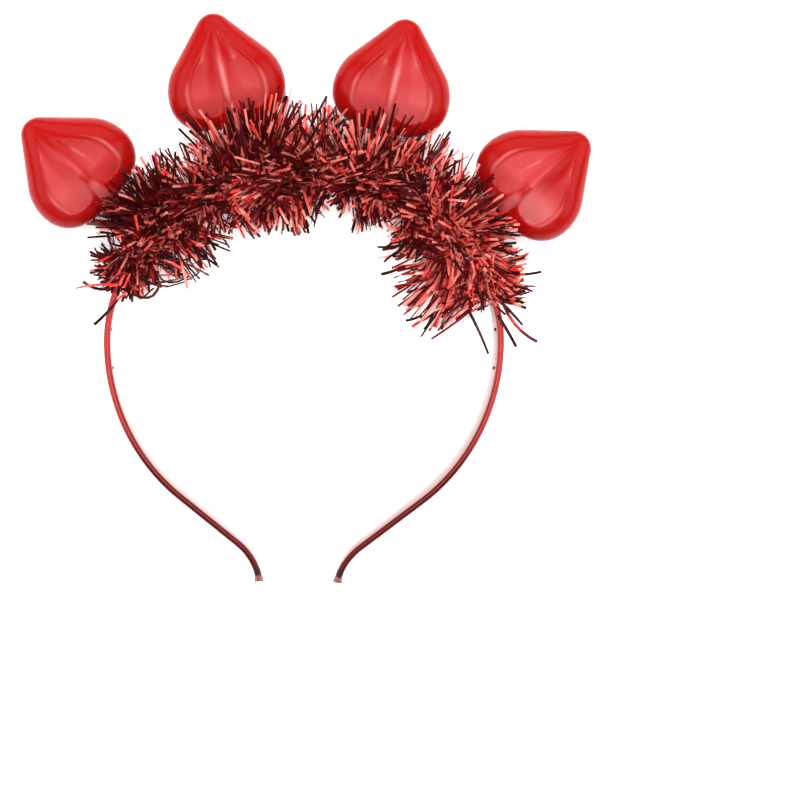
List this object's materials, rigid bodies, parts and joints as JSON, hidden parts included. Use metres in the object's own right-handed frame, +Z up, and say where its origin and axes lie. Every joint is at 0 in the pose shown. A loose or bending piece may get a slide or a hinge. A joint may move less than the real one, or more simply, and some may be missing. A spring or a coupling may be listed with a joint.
{
  "type": "light-up headband",
  "caption": "Open sprung headband with recurved ends, a foil tinsel garland round its crown and hollow heart-shaped translucent lamps on short stems; worn on the head, lies flat at rest.",
  "frame": {"origin": "floor level under the middle of the lying headband's box", "axes": "+Z up from the table, +Y from the open ends towards the crown and lamps, +X to the right as seen from above"},
  "size_m": [0.199, 0.1992, 0.0344],
  "materials": {
    "metallised_band": "glossy metallised red plastic strip",
    "foil_tinsel": "mirror-bright red metallised film strips",
    "lamp_plastic": "glossy translucent red moulding",
    "stem_plastic": "plain translucent moulding",
    "led_epoxy": "clear domed epoxy"
  },
  "bodies": {
    "root": {"band": "metallised_band", "tinsel": "foil_tinsel", "lamp_1": "lamp_plastic", "lamp_2": "lamp_plastic", "lamp_3": "lamp_plastic", "lamp_4": "lamp_plastic", "lamp_stem_1": "stem_plastic", "lamp_stem_2": "stem_plastic", "lamp_stem_3": "stem_plastic", "lamp_stem_4": "stem_plastic", "led_1": "led_epoxy", "led_2": "led_epoxy", "led_3": "led_epoxy", "led_4": "led_epoxy"}
  },
  "joints": []
}
